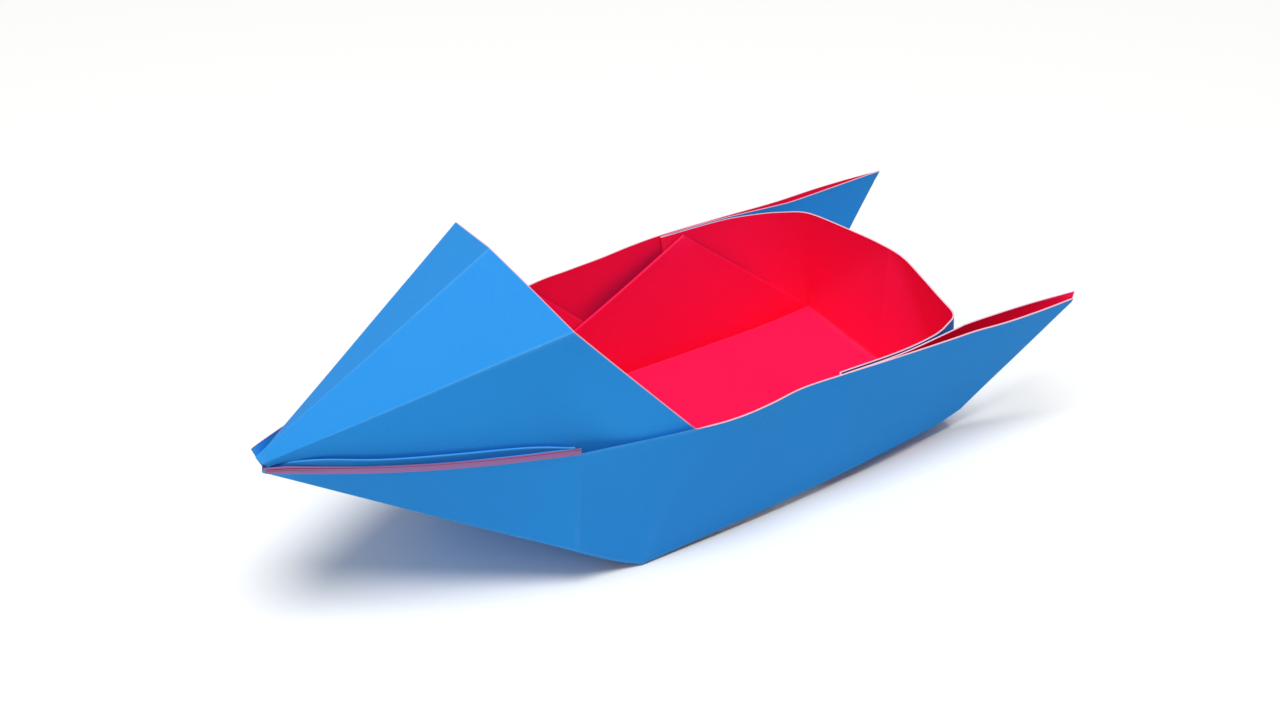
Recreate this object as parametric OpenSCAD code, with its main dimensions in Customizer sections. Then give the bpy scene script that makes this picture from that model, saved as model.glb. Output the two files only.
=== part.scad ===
// Paper boat folded from one square sheet, blue outside and red inside.
// X runs forward to the bow, Y to port and Z up. The origin is on the ground
// under the middle of the boat. Every panel is given by the places of its
// corners after folding, in the middle of the paper.

/* [Sheet] */
// Side of the square sheet before folding
sheet_side = 200; // [170:1:230]
// Thickness of the sheet
paper_t = 0.3; // [0.2:0.02:0.4]

/* [Hull] */
// Width of the flat bottom between the chine folds
bottom_w = 43.6; // [38:0.2:50]
// Beam over the gunwales at the slits
beam_w = 54.8; // [50:0.2:60]
// Beam over the gunwales where the hood ends
hood_beam_w = 52.8; // [48:0.2:56]
// Height of the gunwales
gunwale_h = 25.4; // [23:0.2:28]
// Height of the bow tip
bow_h = 30; // [27:0.2:34]
// Lift of the front end of the bottom
bow_lift = 5; // [3:0.2:6]
// Lift of the rear end of the bottom
stern_lift = 2.6; // [1:0.1:3.4]

/* [Hood] */
// Height of the middle of the hood's rear edge
hood_h = 53.6; // [49:0.2:58]
// Height of the hood's shoulders
shoulder_h = 46.8; // [43:0.2:50]
// Width over the hood's shoulders
shoulder_w = 38.4; // [34:0.2:42]

/* [Stern] */
// Width of the transom along its top
transom_w = 44.6; // [40:0.2:48]
// Height of the transom at its corners
transom_h = 23.6; // [21:0.2:26]
// How far the top of the transom bows aft in the middle
transom_bow = 4.2; // [2:0.2:6]
// Spread between the tips of the fins
fin_spread = 55; // [50:0.2:62]
// Height of the fin tips
fin_h = 22.4; // [20:0.2:25]
// Opening of the slit between the inner wall and the fin
slit_gap = 3.6; // [2.8:0.1:4.6]
// Opening of the pocket inside the fin
pocket_gap = 2.4; // [1.6:0.1:3]

/* [Layers] */
// Spacing of the layers at the bow tip
layer_gap = 1; // [0.8:0.1:1.4]
// Opening between the two layers of the bow's rim
rim_gap = 1.2; // [0.9:0.1:1.5]
// Lean of the inside flap away from the side of the hull
flap_lean = 2.2; // [2:0.1:3]

/* [Hidden] */

// The sheet is folded on a grid of eight steps
grid_steps = 8;
step = sheet_side / grid_steps;
// Angle of the bow folds, a right angle halved twice
bow_fold = 90 / 4;
// Height of the folded sides, fixed by folding their corners to the middle
side_h = 3 * step / (1 + 1 / tan(bow_fold));
// Length of the slanting bow fold
bow_edge = side_h / sin(bow_fold);
// Length of the hood's lower fold, the diagonal of two steps by two
hood_edge = 2 * step * sqrt(2);
// The rounded folds are drawn with this many sides
fold_sides = 8;
// Height of the middle of the paper where it lies on the ground
lift = paper_t / 2 * cos(180 / fold_sides);

// Horizontal run of a crease of length l that also moves across by dy and up by dz
function run(l, dy, dz) = sqrt(l * l - dy * dy - dz * dz);

half_w = bottom_w / 2;
// The chine swells out beside the flat of the bottom and draws in at the stern
chine_swell = 0.4;
// The bottom bends up to the bow this far behind its front corners
knee_run = 0.34 * step;
// The flat of the bottom ends this far behind its front corners
flat_run = 2 * step;
// The crease in the rim stands this far before the bottom's front corners
crease_run = 0.06 * step;
// The transom leans forward by this much, and its rim rises towards the middle
transom_lean = 0.05 * step;
transom_crown = 0.4;
// Fall of the rim from the bow tip to its crease and from the slit to the fin
crease_fall = 3.8;
fin_fall = 1;
// Length of the hood's rear edge that is tucked in below the rim
hood_tuck = 0.8;
// From one layer of paper to the next at the bow tip
layer_step = layer_gap * [-0.2, 1, -0.4];
// Distance of the pleat from the rim at the crease, and its rise above it
pleat_gap = 2.2 * rim_gap;
pleat_rise = 0.5;
// From the stern corner of the bottom to the lower corner of the fin
fin_offset = [-1.4, 0.7, 0.9];
// Distance of the inner wall from the outer side at the slit, above and below
wall_inset = 0.5;
foot_inset = 0.1;
// Drop of the inside flap's tip below the gunwale
flap_drop = 1.2;

// Lengths along the boat, measured forward from the bow's bottom corners
tip_x = run(bow_edge, half_w, bow_h - bow_lift);
stern_x = -3 * step;
corner_x = stern_x + transom_lean;
slit_x = corner_x + run(2 * step - side_h, (beam_w - transom_w) / 2, 0);
fin_x = slit_x - run(2 * step, (beam_w - fin_spread) / 2, gunwale_h - fin_h);
// Shift that puts the middle of the boat over the origin
mid_x = (tip_x + fin_x) / 2;
function place(x, y, z) = [x - mid_x, y, z + lift];

// Bow tip, with the tips of the pleat and the outer layer beside it
tip = place(tip_x, 0, bow_h);
pleat_tip = tip + layer_step;
outer_tip = pleat_tip + layer_step;

// Corners of the bottom, from bow to stern
bow_corner = place(0, half_w, bow_lift);
rest_front = place(-knee_run, half_w + chine_swell, 0);
rest_back = place(-flat_run, half_w + chine_swell, 0);
stern_corner = place(stern_x, half_w - chine_swell, stern_lift);
fin_corner = stern_corner + fin_offset;
slit_foot = place(slit_x, half_w + chine_swell - foot_inset, foot_inset);

// Raw edge of the gunwale, from bow to stern
hood_run = run(hood_edge, hood_beam_w / 2, bow_h - gunwale_h);
rim_crease = place(crease_run, half_w + chine_swell, bow_h - crease_fall);
rim_hood = place(tip_x - hood_run + hood_tuck, hood_beam_w / 2, gunwale_h);
rim_slit = place(slit_x, beam_w / 2, gunwale_h);
rim_fin = place(corner_x, transom_w / 2 + slit_gap + pocket_gap, gunwale_h - fin_fall);
fin_tip = place(fin_x, fin_spread / 2, fin_h);

// Stern end edge, from the fin tip round to the middle of the transom
wall_slit = rim_slit - [0, wall_inset, 0];
fin_inner = rim_fin - [0, pocket_gap, 0];
transom_corner = place(corner_x, transom_w / 2, transom_h);
transom_mid = place(corner_x - transom_bow, 0, transom_h + transom_crown);

// Front end edge, which is the rear edge of the raised hood
hood_mid = place(tip_x - run(2 * step, 0, hood_h - bow_h), 0, hood_h);
shoulder_run = run(2 * step / cos(bow_fold), shoulder_w / 2, shoulder_h - bow_h);
shoulder = place(tip_x - shoulder_run, shoulder_w / 2, shoulder_h);
hood_foot = rim_hood - [0, hood_tuck, hood_tuck / 2];

// Tip of the inside flap and the folded layers inside the bow
flap_tip = place(stern_x + step, beam_w / 2 - flap_lean, gunwale_h - flap_drop);
liner_crease = rim_crease - [0, rim_gap, 0];
pleat_crease = rim_crease - [0, pleat_gap, -pleat_rise];

// Rounded corner of a folded panel made of a number of layers
module fold_end(p, layers) {
    translate(p) sphere(d = paper_t * layers, $fn = fold_sides);
}

// Flat panel of paper with the given corners
module panel(corners, layers = 1) {
    hull() for (p = corners) fold_end(p, layers);
}

// Bent strip of paper between a row of upper and a row of lower corners
module strip(upper, lower) {
    for (i = [0 : len(upper) - 2]) {
        panel([upper[i], upper[i + 1], lower[i]]);
        panel([upper[i + 1], lower[i + 1], lower[i]]);
    }
}

function mirrored(p) = [p[0], -p[1], p[2]];

module both_sides() {
    children();
    mirror([0, 1, 0]) children();
}

// Bottom with its lifted ends, the slanting bow and the creased transom
module base() {
    panel([tip, bow_corner, mirrored(bow_corner)]);
    panel([bow_corner, rest_front, mirrored(rest_front), mirrored(bow_corner)]);
    panel([rest_front, rest_back, mirrored(rest_back), mirrored(rest_front)]);
    panel([rest_back, stern_corner, mirrored(stern_corner), mirrored(rest_back)]);
    panel([transom_mid, stern_corner, mirrored(stern_corner)]);
    both_sides() panel([transom_mid, transom_corner, stern_corner]);
}

// Outer side from the bow tip to the fin tip
module outer_side() {
    panel([outer_tip, rim_crease, bow_corner]);
    panel([outer_tip, pleat_tip, bow_corner]);
    strip([rim_crease, rim_hood, rim_slit, rim_fin], [bow_corner, rest_front, rest_back, fin_corner]);
    panel([rim_fin, fin_tip, fin_corner]);
}

// Second layer of the bow's rim and the pleat beside it
module bow_layers() {
    panel([outer_tip, liner_crease, bow_corner]);
    panel([pleat_tip, pleat_crease, bow_corner], 2);
    panel([tip, pleat_tip, bow_corner]);
}

// Inner wall of the stern and the inner layer of the fin, joined at the slit
module stern_layers() {
    strip([transom_corner, wall_slit], [stern_corner, slit_foot]);
    strip([wall_slit, fin_inner], [slit_foot, fin_corner]);
    panel([fin_inner, fin_tip, fin_corner]);
    panel([slit_foot, stern_corner, fin_corner]);
}

// Place just inside a chine fold, where the doubled flap is hinged
function hinge(p) = p + [0, -paper_t / 2, paper_t / 2];

// Triangular flap that stands inside against the hull
module inside_flap() {
    panel([hinge(bow_corner), flap_tip, hinge(rest_front)], 2);
    panel([hinge(rest_front), flap_tip, hinge(rest_back)], 2);
    panel([hinge(rest_back), flap_tip, hinge(stern_corner)], 2);
}

// Raised hood and the layer that roots it in the bow
module hood() {
    panel([tip, hood_mid, shoulder]);
    panel([tip, shoulder, hood_foot]);
    panel([tip, hood_foot, bow_corner]);
}

module folded_sheet() {
    color([0.11, 0.44, 0.75]) {
        base();
        both_sides() {
            outer_side();
            bow_layers();
            stern_layers();
            inside_flap();
            hood();
        }
    }
}

folded_sheet();
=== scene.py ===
import math

import bmesh
import bpy
from mathutils import Matrix, Vector, noise


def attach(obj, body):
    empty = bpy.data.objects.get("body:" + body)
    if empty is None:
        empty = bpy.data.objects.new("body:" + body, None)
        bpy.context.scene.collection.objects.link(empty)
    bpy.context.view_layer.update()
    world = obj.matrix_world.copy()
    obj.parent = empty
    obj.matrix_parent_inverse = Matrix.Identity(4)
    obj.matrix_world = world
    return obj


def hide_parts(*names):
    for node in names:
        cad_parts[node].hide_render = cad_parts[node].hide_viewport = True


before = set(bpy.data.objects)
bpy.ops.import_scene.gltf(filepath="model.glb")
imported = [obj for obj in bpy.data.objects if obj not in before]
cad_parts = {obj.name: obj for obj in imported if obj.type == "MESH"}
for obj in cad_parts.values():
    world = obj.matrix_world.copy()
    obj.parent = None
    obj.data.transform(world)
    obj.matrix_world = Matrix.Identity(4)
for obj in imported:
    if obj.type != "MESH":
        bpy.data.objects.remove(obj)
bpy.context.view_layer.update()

# The sheet is drawn in millimetres and turned into metres when the mesh is made
MM = 0.001
# Thickness of the paper at the swollen raw edges of the bow, its share inside the panels,
# and how far the other raw edges swell from that share towards the full thickness
PAPER_T = 0.4
INNER_T = 0.55
THIN_RAW = 0.25
# Distance between two layers that are pressed together
LAYER = 0.36

PORT = 1
STARBOARD = -1
# Ways in which the blue side of a panel is turned, given for the port side
OUTWARD = Vector((0, 1, 0))
INWARD = Vector((0, -1, 0))
UPWARD = Vector((0, 0, 1))
FORWARD = Vector((1, 0, 0))
BOW_FACING = Vector((1, 0, -1))
HOOD_TOP_FACING = Vector((0.4, 0.3, 1))
HOOD_SIDE_FACING = Vector((0.4, 1, 0))
NOTHING = Vector((0, 0, 0))

# Numbers of grid steps along the boat: bow, knee, cockpit, slit and fin
BOW_STEPS = 24
KNEE_STEPS = 6
MID_STEPS = 24
SLIT_STEPS = 14
FIN_STEPS = 16
# Grid steps across a panel, across a narrow one and along each part of the transom's rim
ROWS = 12
NARROW_ROWS = 2
RIM_STEPS = 16
# Width of the narrow steps next to a fold, as a share of the panel and of a grid step
FOLD_SHARE = 0.025
PINCH = 0.12

# Folded corners, in the middle of the paper, given for the port side
TIP = Vector((70.8, 0.0, 28.9))
BOW = Vector((24.6, 21.8, 5.1))
STERN = Vector((-50.4, 21.3, 3.2))
FIN_CORNER = Vector((-51.9, 22.1, 3.9))
SLIT_FOOT = Vector((-21.6, 22.8, 2.1))
# Tips of the fins' outer layer, above and below
FIN_TIP = {PORT: Vector((-71.4, 27.5, 22.4)), STARBOARD: Vector((-71.4, 27.8, 22.4))}
FIN_TIP_LOW = {PORT: Vector((-71.1, 27.4, 21.8)), STARBOARD: Vector((-70.7, 27.8, 21.4))}

# Fold between the bottom and the inside flap, from bow to stern
CHINE = [BOW, Vector((10.0, 22.1, 3.5)), Vector((-5.0, 22.2, 3.0)), Vector((-25.0, 22.2, 2.4)),
         Vector((-40.0, 21.9, 2.3)), STERN]
CHINE_STEPS = [8, 8, 10, 8, 8]
# Height at which the bottom rests. It sags to it over one part in so many of the length at each end
REST_Z = 0.14
SAG_PARTS = 4
# Lower fold of the outer side, from the bow corner over the knee to the fin
OUTER_BOW = Vector((27.2, 22.0, 6.7))
BEND = Vector((20.5, 22.5, 1.9))
KNEE = Vector((16.2, 23.5, 0.4))
OUTER_CHINE = [KNEE, Vector((-5.0, 24.0, 1.4)), Vector((-25.0, 23.7, 2.1)), Vector((-44.0, 22.8, 3.0)),
               FIN_CORNER]

# Tips of the outer layer, above and below: the starboard one stands higher
OUTER_TIP = {PORT: Vector((71.2, 2.0, 28.75)), STARBOARD: Vector((71.4, 2.0, 31.0))}
OUTER_TIP_LOW = {PORT: Vector((71.2, 1.0, 28.3)), STARBOARD: Vector((71.0, 1.0, 29.6))}
# Gunwale from the crease above the bow corner to the fin tip
RIM_CREASE = Vector((26.1, 22.2, 25.85))
RIM_HOOD = Vector((6.8, 26.4, 25.6))
# Between hood and slit the port gunwale waves in and out, the starboard one is almost straight
RIM_WAVE = {
    PORT: [Vector((-0.5, 27.35, 25.4)), Vector((-7.0, 27.3, 25.4)), Vector((-13.8, 26.65, 25.4))],
    STARBOARD: [Vector((-1.8, 27.1, 25.4)), Vector((-8.5, 27.3, 25.3)), Vector((-15.0, 27.4, 25.5))],
}
RIM_SLIT = Vector((-21.6, 27.4, 25.5))
RIM_STERN = [Vector((-33.3, 27.6, 24.8)), Vector((-45.0, 27.5, 24.1)), Vector((-49.4, 27.5, 23.9)),
             Vector((-56.4, 27.9, 23.4)), Vector((-64.3, 27.9, 22.9))]
RIM_STERN_STEPS = [6, 6, 2, 6, 5, 5]
# How far the rim of the bow and the middle of the side swell outward
BOW_SWELL = Vector((0.5, 1.2, -0.35))
SIDE_BELLY = Vector((0, 0.3, 0))
# Layer folded over at the rim beside the hood: its turn and its depth
RIM_TURN = Vector((0, -0.12, -0.12))
RIM_DEPTH = Vector((0, -0.4, -3.0))

# Upper edges of the inner wall and of the fin's inner layer, from the slit aft
SLIT_TOP = Vector((-21.6, 26.65, 25.5))
WALL_TOP = {
    PORT: [SLIT_TOP, Vector((-34.3, 26.4, 24.8)), Vector((-42.7, 25.3, 24.6)),
           Vector((-47.3, 23.2, 24.4))],
    STARBOARD: [SLIT_TOP, Vector((-34.3, 26.5, 24.8)), Vector((-42.2, 24.5, 24.6)),
                Vector((-46.6, 22.5, 24.4))],
}
WALL_STEPS = [6, 5, 3]
WALL_BELLY = Vector((0, 0.25, 0))
FIN_TOP = [Vector((-21.6, 27.15, 25.3)), Vector((-33.9, 27.0, 24.7)), Vector((-46.8, 25.3, 24.1)),
           Vector((-50.6, 24.9, 23.9)), Vector((-61.3, 25.4, 23.5))]
FIN_TOP_END = {PORT: Vector((-72.1, 26.9, 23.3)), STARBOARD: Vector((-71.2, 27.6, 22.5))}
FIN_TOP_STEPS = [6, 6, 2, 8, 8]
FIN_BELLY = Vector((0, 0.1, 0))
# How the feet of the inner wall and of the fin's inner layer swell away from each other
WALL_FOOT_SWELL = Vector((0, 0.3, -0.4))
FIN_FOOT_SWELL = Vector((0, 0, 0.25))
# How far the pocket of each fin is pressed shut
POCKET = {PORT: 0.0, STARBOARD: 0.4}
# Corners of the transom's rim before they are rounded off
STERN_TOP = {PORT: Vector((-49.4, 22.3, 24.3)), STARBOARD: Vector((-49.0, 21.4, 24.3))}
CORNER_STEPS = 6
# The port half of the transom's rim is almost straight, the starboard half is rounder
TRANSOM_RIM = [Vector((-49.8, 20.0, 24.3)), Vector((-50.9, 15.0, 24.2)), Vector((-52.4, 8.5, 24.2)),
               Vector((-53.8, 1.5, 24.2)), Vector((-53.3, -5.0, 24.2)), Vector((-51.9, -11.5, 24.2)),
               Vector((-50.4, -17.5, 24.2)), Vector((-49.6, -19.4, 24.3))]
# How far the transom is pushed aft along its creases
TRANSOM_CREASE = Vector((-4.5, 0, 0))
# Half of the slit's width at its front end, and the number of grid points its floor reaches over
SLIT_HALF = Vector((0, 0.06, 0))
SLIT_FLOOR = 12
# How far forward the front end of the slit is rounded
SLIT_ROUND = Vector((0.3, 0, 0))
SLIT_ROUND_STEPS = 6

# Middle, shoulders and foot of the hood's rear edge
HOOD_MID = Vector((28.2, 0.0, 53.7))
SHOULDER = {PORT: Vector((24.4, 18.9, 46.5)), STARBOARD: Vector((23.5, 19.6, 47.2))}
HOOD_FOOT = Vector((6.4, 25.6, 24.7))
# Blunt nose of the hood: its middle, its upper and its lower corner
NOSE_MID = Vector((71.7, 0.0, 30.7))
NOSE_TOP = Vector((71.0, 0.9, 29.8))
NOSE_LOW = Vector((70.4, 1.15, 29.2))
# How the hood's sides swell, and the aft corner of the lining that carries on from the hood's root
HOOD_BELLY = Vector((0.05, 0.15, 0.05))
LINING_END = Vector((-9.7, 23.7, 8.8))
# Lower fold of the hood, from its nose to its foot
HOOD_FOLD = [NOSE_LOW, Vector((65.6, 2.9, 29.7)), Vector((55.8, 7.3, 28.4)), Vector((44.9, 12.1, 27.7)),
             Vector((32.4, 17.0, 27.0)), Vector((26.5, 19.3, 26.4)), Vector((16.4, 23.6, 25.3)), HOOD_FOOT]
HOOD_FOLD_STEPS = [2, 4, 4, 5, 2, 4, 3]
# Last layer at the bow's rim, from the outer one: at the tip and, after a share of the length, aft
LINER_TIP = {PORT: Vector((-0.2, -0.5, 0.7)), STARBOARD: Vector((-0.1, -0.4, 0.5))}
LINER_AFT = {PORT: Vector((-0.8, -1.2, 0)), STARBOARD: Vector((-0.2, -0.5, 0.5))}
LINER_OPENS = 0.3
# The layers draw together over this share of the length at the tip, to a share of their spread
LINER_CLOSES = 0.07
LINER_CLOSED = 0.7
# Layers between those two: shares of the way across, how far their edges are recessed, and the
# share of the height at which they start
FILLERS = [0.26, 0.5, 0.74]
FILLER_DROP = Vector((0, 0, -0.1))
FILLER_START = 0.6
# Places of the two layers that close the gap between the outer side and the slanting bow
BELOW_SEAM = Vector((0, 0.03, -0.03))
ABOVE_SEAM = Vector((0, 0, 0.3))
# Folds of the two pleats between rim and hood, from bow to stern
PLEAT_FOLDS = [
    [Vector((69.8, 0.7, 28.9)), Vector((63.4, 4.6, 29.6)), Vector((54.8, 8.8, 28.6)),
     Vector((45.3, 12.9, 28.0)), Vector((32.9, 17.7, 27.2)), Vector((26.2, 20.4, 26.0))],
    [Vector((69.6, 0.6, 28.6)), Vector((63.3, 4.6, 27.8)), Vector((54.6, 8.9, 26.9)),
     Vector((45.6, 12.9, 26.5)), Vector((33.2, 17.8, 26.0)), Vector((26.2, 20.4, 25.9))],
]
PLEAT_FOLD_STEPS = [4, 5, 5, 6, 4]
# Radius of a pleat's fold, and the number of sides it is drawn with
PLEAT_ROUND = 0.07
PLEAT_SIDES = 6
# Below its fold a pleat drops to a lip, lower at the bow than aft, and then turns in to its feet
PLEAT_BOW_LIP = Vector((0, 0, -0.8))
PLEAT_AFT_LIP = Vector((0, -0.05, -0.3))
PLEAT_OUTER_FOOT = Vector((0, -0.25, -2.0))
PLEAT_INNER_FOOT = Vector((0, -0.5, -2.4))
# Shares of the length over which its fold and its feet open from the tip
PLEAT_OPENS = 0.1
PLEAT_FEET_OPEN = 0.2

# Layer turned under at a fold, as shares of the panel beside it: its width and that of the turn.
# It widens over this many grid steps
HEM = 0.18
HEM_TURN = 0.01
HEM_START = 10
# Tip of the inside flap
FLAP_TIP = Vector((-25.6, 25.9, 24.7))
# How far the flap swells away from the side, and how evenly over its height
FLAP_SWELL = 0.5
FLAP_SWELL_EVEN = 0.6

# Slow unevenness of folded paper, the same on every run, which fades out where the boat rests
WARP_SEED = 614
WARP = 0.3
WARP_SIZE = 28.0
WARP_START_H = 1.0
WARP_FULL_H = 10.0
# Edges bent more than the first angle are drawn sharp. Wear and painted fold highlight grow from the
# second to the third
SHARP_ANGLE = math.radians(18)
WEAR_HIGHLIGHT_START = math.radians(3)
WEAR_HIGHLIGHT_FULL = math.radians(45)
# Points closer than this become one
MERGE = 0.01
# The edges of the layers pressed together at the bow lie forward of this length and below this height
LAYERS_END = 24.5
LAYERS_TOP = 32.0
# The colour stops short of a raw edge by this share of the last grid step, outside and inside,
# where the edge lies above the given height
BLUE_MARGIN = 0.16
RED_MARGIN = 0.05
MARGIN_H = 15.0

# Colours of the paper's two sides, plain, deeper in the mottling and rubbed along the folds (partly wear,
# partly painted highlight), and of its cut edge
BLUE = (0.020, 0.285, 0.77)
BLUE_DEEP = (0.016, 0.260, 0.73)
# Rubbed colour, which along the folds also paints the highlight they catch
BLUE_WORN_HIGHLIGHT = (0.13, 0.43, 0.82)
RED = (0.96, 0.008, 0.088)
RED_DEEP = (0.92, 0.006, 0.080)
RED_WORN_HIGHLIGHT = (0.95, 0.04, 0.13)
CORE = (0.82, 0.45, 0.56)
CORE_LIGHT = (0.88, 0.6, 0.68)
# Painted shade on the cut edges pressed together at the bow, which lie in the dark gaps between layers
CORE_PRESSED_SHADE = (0.26, 0.12, 0.25)
# Size and detail of the noises in the paper and in its cut edge
MOTTLE = (14.0, 3.0)
FIBRE = (0.45, 4.0)
RUB = (2.2, 5.0)
CORE_FIBRE = (0.6, 3.0)
# Shares of rubbed colour on the fibres, and on the sharpest folds, where it is partly wear and partly
# painted highlight
SPECK = 0.12
WEAR_HIGHLIGHT = 0.6
# Sheen of the coated paper and of its cut edge, and relief of the fibres
PAPER_ROUGH = (0.48, 0.62)
PAPER_SPECULAR = 0.05
CORE_ROUGH = 0.8
CORE_SPECULAR = 0.2
FIBRE_BUMP = 0.22
FIBRE_DEPTH = 0.03
# Sockets of a colour mix: share, first colour, second colour and result
MIX_SHARE = 0
MIX_FIRST = 6
MIX_SECOND = 7
MIX_RESULT = 2

# The table as it is seen and as it lights the boat from below, its sheen and half its side in metres
FLOOR = (0.98, 0.98, 0.97)
FLOOR_BOUNCE = (0.86, 0.86, 0.85)
FLOOR_ROUGH = 0.6
FLOOR_SPECULAR = 0.2
FLOOR_HALF = 2.0
# Lamps: place and size in metres and power in watts, the point they shine at, and the strength of
# the white surrounding
OVERHEAD = {"place": (0.14, 0.22, 1.3), "size": 0.8, "power": 15.3}
BOW_SIDE = {"place": (0.85, 0.2, 0.75), "size": 0.6, "power": 1.0}
LAMP_TARGET = (0, 0, 0.02)
SURROUND = 0.28
# Camera, fitted to the photo: the point it looks at, its distance, its angles, its lens and sensor,
# and how near its view starts, in metres
AIM = Vector((0.75, 0.0, 22.0))
DISTANCE = 440.5
HEADING = math.radians(32.28)
ELEVATION = math.radians(33.52)
ROLL = math.radians(-1.45)
LENS = 73.2
SENSOR = 36.0
CLIP_START = 0.01


def even(count):
    return [i / count for i in range(count + 1)]


def fractions(count):
    """Steps from 0 to 1 with a narrow one at each end, next to the folds."""
    inner = [FOLD_SHARE + (1 - 2 * FOLD_SHARE) * i / (count - 2) for i in range(count - 1)]
    return [0.0] + inner + [1.0]


def line(a, b, steps, swell=NOTHING):
    """Steps from a to b, pushed aside by the swell in the middle."""
    return [a.lerp(b, t) + swell * math.sin(math.pi * t) for t in steps]


def curve(points, counts):
    """Smooth curve through the points, with a number of steps between each two of them."""
    first = points[0] * 2 - points[1]
    last = points[-1] * 2 - points[-2]
    knots = [first] + points + [last]
    out = [points[0].copy()]
    for k, count in enumerate(counts):
        a, b, c, d = knots[k:k + 4]
        for t in even(count)[1:]:
            out.append(0.5 * (2 * b + (c - a) * t + (2 * a - 5 * b + 4 * c - d) * t * t
                              + (3 * b - a - 3 * c + d) * t ** 3))
    return out


def joined(*runs):
    """One run of points from several that follow each other."""
    out = list(runs[0])
    for run in runs[1:]:
        out += run[1:]
    return out


def along(run, t):
    """Point at a share of a run."""
    place = t * (len(run) - 1)
    i = min(int(place), len(run) - 2)
    return run[i].lerp(run[i + 1], place - i)


def resampled(points, counts, steps):
    """Smooth curve through the points, taken at the given shares of its steps."""
    run = curve(points, counts)
    return [along(run, t) for t in steps]


def rounded(a, corner, b, count):
    """Steps from a to b that round off the corner between them."""
    return [a.lerp(corner, t).lerp(corner.lerp(b, t), t) for t in even(count)]


def swollen(t, evenness):
    """Share of a swell at a share of the way between two ends that stay in place."""
    return max(math.sin(math.pi * t), 0.0) ** evenness


def pinched(run):
    """Run with one more point close to each end, so that a fold there is drawn crisply."""
    return [run[0], run[0].lerp(run[1], PINCH)] + run[1:-1] + [run[-1].lerp(run[-2], PINCH), run[-1]]


def between(low, high, steps, belly=NOTHING):
    """Grid of rows from the low to the high run, with a belly in the middle of the panel."""
    last = len(low) - 1
    rows = []
    for t in steps:
        rise = math.sin(math.pi * t)
        rows.append([a.lerp(b, t) + belly * (rise * math.sin(math.pi * j / last))
                     for j, (a, b) in enumerate(zip(low, high))])
    return rows


def fan(apex, far, steps):
    """Grid of rows from one corner to the run on the far side of a panel."""
    return [[apex.lerp(p, t) for p in far] for t in steps]


def hem(fold, toward, gap):
    """Layer turned under along a fold, narrow at its start, beside the panel that reaches on."""
    turn = [p.lerp(q, HEM_TURN) + gap for p, q in zip(fold, toward)]
    widths = [HEM * min(1.0, (i + 1) / HEM_START) for i in range(len(fold))]
    end = [p.lerp(q, width) + gap for p, q, width in zip(fold, toward, widths)]
    return [fold, turn, end]


def mirrored(p):
    return Vector((p.x, -p.y, p.z))


class Sheet:
    """Panels of the folded sheet, each with its blue side turned the given way."""

    def __init__(self):
        self.points = []
        self.faces = []

    def add(self, grid, blue):
        start = len(self.points)
        width = len(grid[0])
        self.points += [p for row in grid for p in row]
        faces = []
        facing = NOTHING.copy()
        for i in range(len(grid) - 1):
            for j in range(width - 1):
                a = start + i * width + j
                face = (a, a + 1, a + width + 1, a + width)
                corners = [self.points[k] for k in face]
                facing += (corners[2] - corners[0]).cross(corners[3] - corners[1])
                faces.append(face)
        if facing.dot(blue) < 0:
            faces = [tuple(reversed(f)) for f in faces]
        self.faces += faces

    def add_side(self, grid, blue, side):
        """Adds a panel that is described for the port side to either side."""
        if side == STARBOARD:
            grid = [[mirrored(p) for p in row] for row in grid]
            blue = mirrored(blue)
        self.add(grid, blue)


def chine():
    return pinched(curve(CHINE, CHINE_STEPS))


def outer_low(side):
    """Lower fold of the outer side from the bow corner to the fin tip."""
    half = MID_STEPS // 2
    part = SLIT_STEPS // 2
    return pinched(joined(rounded(OUTER_BOW, BEND, KNEE, KNEE_STEPS),
                          curve(OUTER_CHINE, [half, half, part, part]),
                          line(FIN_CORNER, FIN_TIP_LOW[side], even(FIN_STEPS))))


def outer_high(side):
    """Raw upper edge of the outer side from the crease at the bow to the fin tip."""
    quarter = MID_STEPS // (len(RIM_WAVE[side]) + 1)
    points = [RIM_CREASE, RIM_HOOD] + RIM_WAVE[side] + [RIM_SLIT] + RIM_STERN + [FIN_TIP[side]]
    wave_steps = [quarter] * (len(RIM_WAVE[side]) + 1)
    return pinched(curve(points, [KNEE_STEPS] + wave_steps + RIM_STERN_STEPS))


def bow_low(side):
    return line(OUTER_TIP_LOW[side], OUTER_BOW, fractions(BOW_STEPS))


def bow_high(side):
    return line(OUTER_TIP[side], RIM_CREASE, fractions(BOW_STEPS), BOW_SWELL)


def across():
    """Shares from side to side, as fine in each half as a panel is from foot to rim."""
    half = [t / 2 for t in fractions(ROWS)]
    return half + [1 - t for t in reversed(half[:-1])]


def add_bottom(sheet):
    """Bottom that sags to the ground in its middle, and the slanting bow."""
    run = chine()
    last = len(run) - 1
    rows = []
    for i, p in enumerate(run):
        sag = (p.z - REST_Z) * min(1.0, SAG_PARTS * i / last, SAG_PARTS * (last - i) / last)
        rows.append([p.lerp(mirrored(p), t) - UPWARD * (sag * math.sin(math.pi * t))
                     for t in across()])
    sheet.add(rows, -UPWARD)
    sheet.add(fan(TIP, rows[0], fractions(BOW_STEPS)), BOW_FACING)


def add_transom(sheet):
    """Upright stern, faintly creased from the middle of its rim to the bottom corners."""
    run = curve(TRANSOM_RIM, [RIM_STEPS] * (len(TRANSOM_RIM) - 1))
    parts = across()
    foot = [STERN.lerp(mirrored(STERN), t) for t in parts]
    rim = [along(run, t) for t in parts]
    grid = between(foot, rim, fractions(ROWS))
    for row, rise in zip(grid, fractions(ROWS)):
        for j, t in enumerate(parts):
            inner = 1 - abs(2 * t - 1)
            row[j] += TRANSOM_CREASE * (min(rise, inner) - rise * inner)
    sheet.add(grid, -FORWARD)


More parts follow.
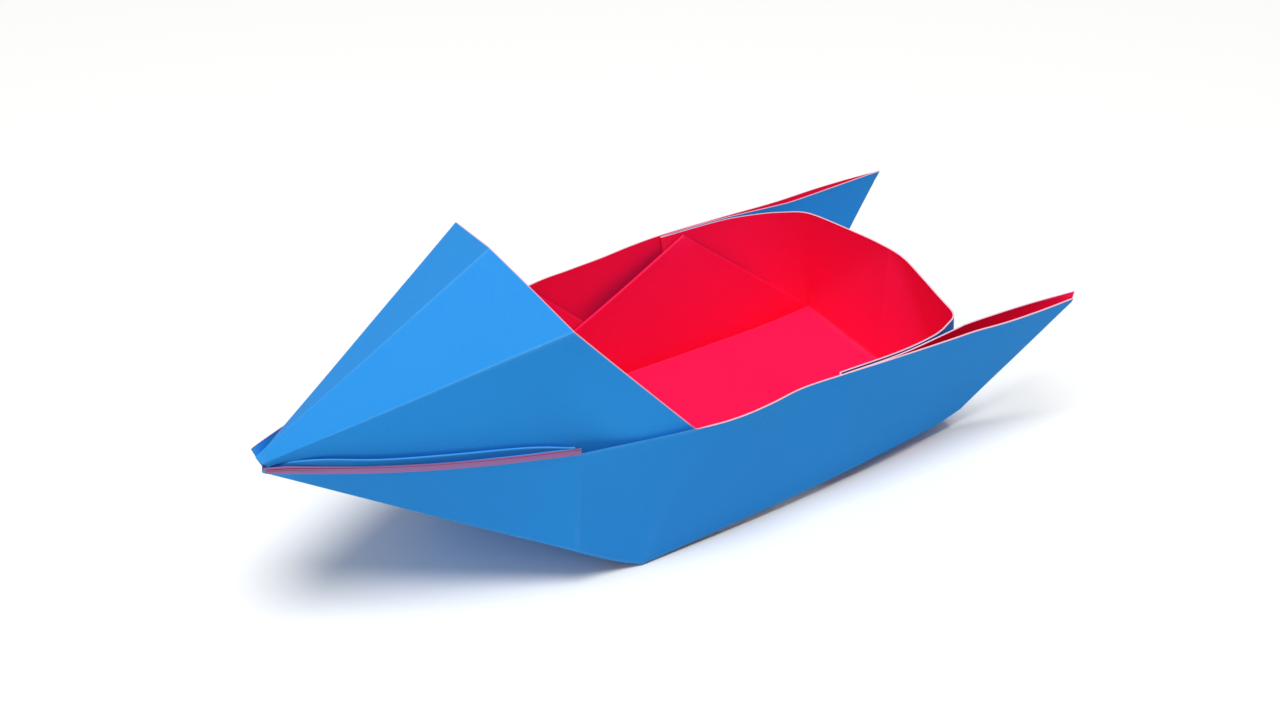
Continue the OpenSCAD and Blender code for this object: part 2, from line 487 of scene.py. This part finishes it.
def add_outer_side(sheet, side):
    """Outer side from the bow to the fin tip, with its lower fold and the rim by the hood turned in."""
    sheet.add_side(between(bow_low(side), bow_high(side), fractions(ROWS)), OUTWARD, side)
    low = outer_low(side)
    high = outer_high(side)
    sheet.add_side(between(low, high, fractions(ROWS), SIDE_BELLY), OUTWARD, side)
    fold_end = len(low) - FIN_STEPS - SLIT_STEPS
    sheet.add_side(hem(low[:fold_end], high[:fold_end], INWARD * LAYER), INWARD, side)
    by_hood = high[:KNEE_STEPS + 2]
    turned = [[p + RIM_TURN for p in by_hood], [p + RIM_DEPTH for p in by_hood]]
    sheet.add_side([by_hood] + turned, INWARD, side)


def add_stern_layers(sheet, side):
    """Inner wall and inner layer of the fin, joined by the rounded fold of the slit."""
    wall_low = line(SLIT_FOOT - SLIT_HALF, STERN, even(SLIT_STEPS), WALL_FOOT_SWELL)
    wall_high = curve(WALL_TOP[side], WALL_STEPS)
    sheet.add_side(between(wall_low, wall_high, fractions(ROWS), WALL_BELLY), OUTWARD, side)

    fin_low = line(SLIT_FOOT + SLIT_HALF, FIN_CORNER, even(SLIT_STEPS), FIN_FOOT_SWELL)
    low = joined(fin_low, line(FIN_CORNER, FIN_TIP_LOW[side], even(FIN_STEPS)))
    high = curve(FIN_TOP + [FIN_TOP_END[side]], FIN_TOP_STEPS)
    shut = curve([RIM_SLIT] + RIM_STERN + [FIN_TIP[side]], RIM_STERN_STEPS)
    high = [high[0]] + [p.lerp(q, POCKET[side]) for p, q in zip(high[1:], shut[1:])]
    sheet.add_side(between(low, high, fractions(ROWS), FIN_BELLY), INWARD, side)
    slit_floor = between(wall_low[:SLIT_FLOOR], fin_low[:SLIT_FLOOR], even(NARROW_ROWS))
    sheet.add_side(slit_floor, UPWARD, side)

    rim_end = TRANSOM_RIM[0] if side == PORT else mirrored(TRANSOM_RIM[-1])
    corner = rounded(wall_high[-1], STERN_TOP[side], rim_end, CORNER_STEPS)
    sheet.add_side(fan(STERN, corner, fractions(ROWS)), OUTWARD, side)

    foot = line(wall_low[0], fin_low[0], even(SLIT_ROUND_STEPS))
    top = line(wall_high[0], high[0], even(SLIT_ROUND_STEPS), SLIT_ROUND)
    sheet.add_side(between(foot, top, fractions(ROWS)), -FORWARD, side)


def add_inside_flap(sheet, side):
    """Triangular flap hinged at the chine, with its two upper edges folded over."""
    foot = chine()
    steps = fractions(ROWS)
    flap = fan(FLAP_TIP, foot, steps)
    for row, t in zip(flap, steps):
        for p in row:
            p += INWARD * (FLAP_SWELL * swollen(t, FLAP_SWELL_EVEN))
    sheet.add_side(flap, OUTWARD, side)
    middle = [row[len(row) // 2] for row in flap]
    for column in (0, -1):
        edge = [row[column] for row in flap]
        sheet.add_side(hem(edge, middle, OUTWARD * LAYER), INWARD, side)


def add_bow_rim(sheet, side):
    """Further layers whose raw edges lie beside the outer one at the bow's rim."""
    low = bow_low(side)
    rim = bow_high(side)
    apart = []
    for t in fractions(BOW_STEPS):
        spread = LINER_CLOSED + (1 - LINER_CLOSED) * min(1.0, t / LINER_CLOSES)
        apart.append(LINER_TIP[side].lerp(LINER_AFT[side], min(1.0, t / LINER_OPENS)) * spread)
    inside = [p + d for p, d in zip(rim, apart)]
    foot = [p + d * FILLERS[0] for p, d in zip(low, apart)]
    sheet.add_side(between(foot, inside, fractions(ROWS)), INWARD, side)
    for share in FILLERS:
        edge = [p.lerp(q, share) + FILLER_DROP for p, q in zip(rim, inside)]
        raised = [p.lerp(q, FILLER_START) for p, q in zip(low, edge)]
        sheet.add_side(between(raised, edge, fractions(ROWS)), INWARD, side)
    ends = [line(low[0], rim[0], fractions(ROWS)), line(foot[0], inside[0], fractions(ROWS))]
    sheet.add_side(ends, FORWARD, side)
    seam = line(TIP, BOW, fractions(BOW_STEPS))
    sheet.add_side([low, [p + BELOW_SEAM for p in seam]], BOW_FACING, side)
    sheet.add_side([[p + ABOVE_SEAM for p in foot], [p + ABOVE_SEAM for p in seam]], UPWARD, side)


def add_pleat(sheet, side, points):
    """Folded edge between the rim of the bow and the hood."""
    steps = fractions(BOW_STEPS)
    fold = resampled(points, PLEAT_FOLD_STEPS, steps)
    open_share = [min(1.0, t / PLEAT_OPENS) for t in steps]
    feet_share = [min(1.0, t / PLEAT_FEET_OPEN) for t in steps]
    rows = [[p + PLEAT_OUTER_FOOT * share for p, share in zip(fold, feet_share)]]
    lips = [PLEAT_BOW_LIP.lerp(PLEAT_AFT_LIP, t) * share for t, share in zip(steps, open_share)]
    rows.append([p + lip for p, lip in zip(fold, lips)])
    for turn in [math.pi * t for t in even(PLEAT_SIDES)]:
        round_off = Vector((0, math.cos(turn), math.sin(turn) - 1)) * PLEAT_ROUND
        rows.append([p + round_off * share for p, share in zip(fold, open_share)])
    rows.append([p + PLEAT_INNER_FOOT * share for p, share in zip(fold, feet_share)])
    sheet.add_side(rows, UPWARD, side)


def add_hood(sheet, side):
    """Raised hood with its blunt nose, and the layer that roots it in the bow."""
    steps = fractions(BOW_STEPS)
    parts = fractions(ROWS)
    fold = resampled(HOOD_FOLD, HOOD_FOLD_STEPS, steps)
    ridge = line(NOSE_TOP, SHOULDER[side], steps)
    sheet.add_side(between(ridge, line(NOSE_MID, HOOD_MID, steps), parts), HOOD_TOP_FACING, side)
    sheet.add_side(between(fold, ridge, parts, HOOD_BELLY), HOOD_SIDE_FACING, side)
    sheet.add_side(between(line(TIP, BOW, steps), fold, parts), HOOD_SIDE_FACING, side)
    lining = fan(HOOD_FOOT, line(BOW, LINING_END, steps), parts)
    sheet.add_side(lining, OUTWARD, side)
    aft = [row[-1] for row in lining]
    fore = [row[0] for row in lining]
    sheet.add_side(hem(aft, fore, OUTWARD * LAYER), INWARD, side)
    nose = joined(line(NOSE_LOW, NOSE_TOP, parts), line(NOSE_TOP, NOSE_MID, parts))
    sheet.add_side(fan(TIP, nose, even(NARROW_ROWS)), FORWARD, side)


def warped(p):
    """Place of a point after the slow unevenness of the paper is added."""
    share = min(max((p.z - WARP_START_H) / (WARP_FULL_H - WARP_START_H), 0.0), 1.0)
    return p + noise.noise_vector(p / WARP_SIZE) * (WARP * share)


def mark_folds(bm):
    """Stores on each point how sharply it is folded and how thick a raw edge is there."""
    fold = bm.verts.layers.float.new("fold")
    raw = bm.verts.layers.float.new("raw_edge")
    margin = bm.verts.layers.float.new("margin")
    pressed = bm.verts.layers.float.new("pressed")
    for edge in bm.edges:
        if len(edge.link_faces) == 1:
            for v in edge.verts:
                # The cut edges pressed together at the bow are marked for painted shade
                at_bow = v.co.x > LAYERS_END * MM and v.co.z < LAYERS_TOP * MM
                v[pressed] = 1.0 if at_bow else 0.0
                v[raw] = 1.0 if at_bow and v.co.y > 0 else THIN_RAW
                v[margin] = 1.0 if v.co.z > MARGIN_H * MM else 0.0
            continue
        bend = (edge.calc_face_angle(0.0) - WEAR_HIGHLIGHT_START) / (WEAR_HIGHLIGHT_FULL - WEAR_HIGHLIGHT_START)
        for v in edge.verts:
            v[fold] = max(v[fold], min(bend, 1.0))


def sharpen(mesh):
    """Smooth panels with sharp folds."""
    bm = bmesh.new()
    bm.from_mesh(mesh)
    for face in bm.faces:
        face.smooth = True
    for edge in bm.edges:
        edge.smooth = len(edge.link_faces) == 2 and edge.calc_face_angle() < SHARP_ANGLE
    bm.to_mesh(mesh)
    bm.free()


def thin_sheet(sheet):
    """Mesh of the sheet without thickness, in metres."""
    noise.seed_set(WARP_SEED)
    mesh = bpy.data.meshes.new("sheet_middle")
    mesh.from_pydata([warped(p) * MM for p in sheet.points], [], sheet.faces)
    bm = bmesh.new()
    bm.from_mesh(mesh)
    bmesh.ops.remove_doubles(bm, verts=bm.verts, dist=MERGE * MM)
    mark_folds(bm)
    bm.to_mesh(mesh)
    bm.free()
    return mesh


def thickened(mesh, materials):
    """Object with the paper's thickness: blue on one side, red on the other, pale at raw edges."""
    draft = bpy.data.objects.new("sheet_draft", mesh)
    bpy.context.scene.collection.objects.link(draft)
    for material in materials:
        mesh.materials.append(material)
    group = draft.vertex_groups.new(name="raw")
    for i, value in enumerate(mesh.attributes["raw_edge"].data):
        group.add([i], value.value, "REPLACE")
    thick = draft.modifiers.new("paper", "SOLIDIFY")
    thick.thickness = PAPER_T * MM
    thick.offset = 0.0
    thick.vertex_group = "raw"
    thick.thickness_vertex_group = INNER_T
    thick.material_offset = 1
    thick.material_offset_rim = 2
    depsgraph = bpy.context.evaluated_depsgraph_get()
    solid = bpy.data.meshes.new_from_object(draft.evaluated_get(depsgraph))
    bpy.data.objects.remove(draft)
    sharpen(solid)
    solid.name = "folded_paper"
    piece = bpy.data.objects.new("folded_paper", solid)
    bpy.context.scene.collection.objects.link(piece)
    return piece


def noise_node(tree, coords, size_mm, detail):
    node = tree.nodes.new("ShaderNodeTexNoise")
    node.inputs["Scale"].default_value = 1 / (size_mm * MM)
    node.inputs["Detail"].default_value = detail
    tree.links.new(coords.outputs["Object"], node.inputs["Vector"])
    return node


def mix_colour(tree, factor, a, b):
    node = tree.nodes.new("ShaderNodeMix")
    node.data_type = "RGBA"
    for socket, value in ((MIX_SHARE, factor), (MIX_FIRST, a), (MIX_SECOND, b)):
        if isinstance(value, bpy.types.NodeSocket):
            tree.links.new(value, node.inputs[socket])
        else:
            node.inputs[socket].default_value = value
    return node.outputs[MIX_RESULT]


def scaled(tree, value, factor):
    node = tree.nodes.new("ShaderNodeMath")
    node.operation = "MULTIPLY"
    tree.links.new(value, node.inputs[0])
    if isinstance(factor, bpy.types.NodeSocket):
        tree.links.new(factor, node.inputs[1])
    else:
        node.inputs[1].default_value = factor
    return node.outputs[0]


def attribute(tree, name):
    node = tree.nodes.new("ShaderNodeAttribute")
    node.attribute_name = name
    return node.outputs["Fac"]


def core_colour(tree, coords):
    """Pale fibres of a cut edge, with painted shade where layers are pressed together in the dark gaps at
    the bow.
    """
    fibre = noise_node(tree, coords, *CORE_FIBRE)
    tint = mix_colour(tree, fibre.outputs["Fac"], (*CORE, 1), (*CORE_LIGHT, 1))
    return mix_colour(tree, attribute(tree, "pressed"), tint, (*CORE_PRESSED_SHADE, 1))


def ranged(tree, value, low, high, start=0.0):
    node = tree.nodes.new("ShaderNodeMapRange")
    node.inputs["From Min"].default_value = start
    node.inputs["To Min"].default_value = low
    node.inputs["To Max"].default_value = high
    tree.links.new(value, node.inputs["Value"])
    return node.outputs["Result"]


def paper(name, colour, deep, worn_highlight, margin):
    """Coated folding paper: soft mottling, fine fibres, and along the folds colour rubbed off, partly wear
    and partly painted highlight.
    """
    material = bpy.data.materials.new(name)
    material.use_nodes = True
    tree = material.node_tree
    shader = tree.nodes["Principled BSDF"]
    coords = tree.nodes.new("ShaderNodeTexCoord")
    mottle = noise_node(tree, coords, *MOTTLE)
    fibre = noise_node(tree, coords, *FIBRE)
    rub = noise_node(tree, coords, *RUB)
    base = mix_colour(tree, mottle.outputs["Fac"], (*colour, 1), (*deep, 1))
    speck = scaled(tree, fibre.outputs["Fac"], SPECK)
    base = mix_colour(tree, speck, base, (*worn_highlight, 1))
    # Along the folds the rubbed colour is partly wear and partly painted highlight, where a fold would
    # catch the light
    wear_highlight = scaled(tree, scaled(tree, attribute(tree, "fold"), rub.outputs["Fac"]), WEAR_HIGHLIGHT)
    base = mix_colour(tree, wear_highlight, base, (*worn_highlight, 1))
    bare = ranged(tree, attribute(tree, "margin"), 0.0, 1.0, 1 - margin)
    base = mix_colour(tree, bare, base, core_colour(tree, coords))
    tree.links.new(base, shader.inputs["Base Color"])
    tree.links.new(ranged(tree, rub.outputs["Fac"], *PAPER_ROUGH), shader.inputs["Roughness"])
    shader.inputs["Specular IOR Level"].default_value = PAPER_SPECULAR
    bump = tree.nodes.new("ShaderNodeBump")
    bump.inputs["Strength"].default_value = FIBRE_BUMP
    bump.inputs["Distance"].default_value = FIBRE_DEPTH * MM
    tree.links.new(fibre.outputs["Fac"], bump.inputs["Height"])
    tree.links.new(bump.outputs["Normal"], shader.inputs["Normal"])
    return material


def raw_edge():
    """Pale cut edge of the sheet, with painted shade where layers are pressed together at the bow."""
    material = bpy.data.materials.new("paper_core")
    material.use_nodes = True
    tree = material.node_tree
    shader = tree.nodes["Principled BSDF"]
    coords = tree.nodes.new("ShaderNodeTexCoord")
    tree.links.new(core_colour(tree, coords), shader.inputs["Base Color"])
    shader.inputs["Roughness"].default_value = CORE_ROUGH
    shader.inputs["Specular IOR Level"].default_value = CORE_SPECULAR
    return material


def build_boat():
    """Folded sheet in place of the solid."""
    sheet = Sheet()
    add_bottom(sheet)
    add_transom(sheet)
    for side in (PORT, STARBOARD):
        add_outer_side(sheet, side)
        add_stern_layers(sheet, side)
        add_inside_flap(sheet, side)
        add_bow_rim(sheet, side)
        add_hood(sheet, side)
        for points in PLEAT_FOLDS:
            add_pleat(sheet, side, points)
    materials = [
        paper("paper_blue", BLUE, BLUE_DEEP, BLUE_WORN_HIGHLIGHT, BLUE_MARGIN),
        paper("paper_red", RED, RED_DEEP, RED_WORN_HIGHLIGHT, RED_MARGIN),
        raw_edge(),
    ]
    boat = thickened(thin_sheet(sheet), materials)
    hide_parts("folded_sheet")
    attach(boat, "root")


def add_floor():
    """Plain pale table."""
    mesh = bpy.data.meshes.new("floor")
    corners = [(-FLOOR_HALF, -FLOOR_HALF, 0), (FLOOR_HALF, -FLOOR_HALF, 0),
               (FLOOR_HALF, FLOOR_HALF, 0), (-FLOOR_HALF, FLOOR_HALF, 0)]
    mesh.from_pydata(corners, [], [(0, 1, 2, 3)])
    floor = bpy.data.objects.new("floor", mesh)
    bpy.context.scene.collection.objects.link(floor)
    material = bpy.data.materials.new("floor_white")
    material.use_nodes = True
    tree = material.node_tree
    shader = tree.nodes["Principled BSDF"]
    path = tree.nodes.new("ShaderNodeLightPath")
    seen = mix_colour(tree, path.outputs["Is Camera Ray"], (*FLOOR_BOUNCE, 1), (*FLOOR, 1))
    tree.links.new(seen, shader.inputs["Base Color"])
    shader.inputs["Roughness"].default_value = FLOOR_ROUGH
    shader.inputs["Specular IOR Level"].default_value = FLOOR_SPECULAR
    mesh.materials.append(material)


def aimed(place, target):
    """Matrix of a lamp at a place that shines at a target."""
    turn = (Vector(place) - Vector(target)).to_track_quat("Z", "Y")
    return Matrix.Translation(place) @ turn.to_matrix().to_4x4()


def add_lamp(name, place, size, power):
    data = bpy.data.lights.new(name, "AREA")
    data.shape = "DISK"
    data.size = size
    data.energy = power
    lamp = bpy.data.objects.new(name, data)
    lamp.matrix_world = aimed(place, LAMP_TARGET)
    bpy.context.scene.collection.objects.link(lamp)


def add_light():
    """Large soft lamp above the boat, a weak one before the bow and an even white surrounding."""
    world = bpy.data.worlds.new("studio")
    world.use_nodes = True
    background = world.node_tree.nodes["Background"]
    background.inputs["Color"].default_value = (1, 1, 1, 1)
    background.inputs["Strength"].default_value = SURROUND
    bpy.context.scene.world = world
    add_lamp("overhead", **OVERHEAD)
    add_lamp("bow_side", **BOW_SIDE)


def add_camera():
    """View from the port bow, slightly rolled as the photo is."""
    back = Vector((math.sin(HEADING) * math.cos(ELEVATION),
                   math.cos(HEADING) * math.cos(ELEVATION),
                   math.sin(ELEVATION)))
    right = UPWARD.cross(back).normalized()
    up = back.cross(right)
    rolled_right = right * math.cos(ROLL) + up * math.sin(ROLL)
    rolled_up = up * math.cos(ROLL) - right * math.sin(ROLL)
    turn = Matrix((rolled_right, rolled_up, back)).transposed().to_4x4()
    data = bpy.data.cameras.new("camera")
    data.lens = LENS
    data.sensor_width = SENSOR
    data.clip_start = CLIP_START
    camera = bpy.data.objects.new("camera", data)
    camera.matrix_world = Matrix.Translation((AIM + back * DISTANCE) * MM) @ turn
    bpy.context.scene.collection.objects.link(camera)
    bpy.context.scene.camera = camera


build_boat()
add_floor()
add_light()
add_camera()
bpy.context.scene.view_settings.view_transform = "Standard"
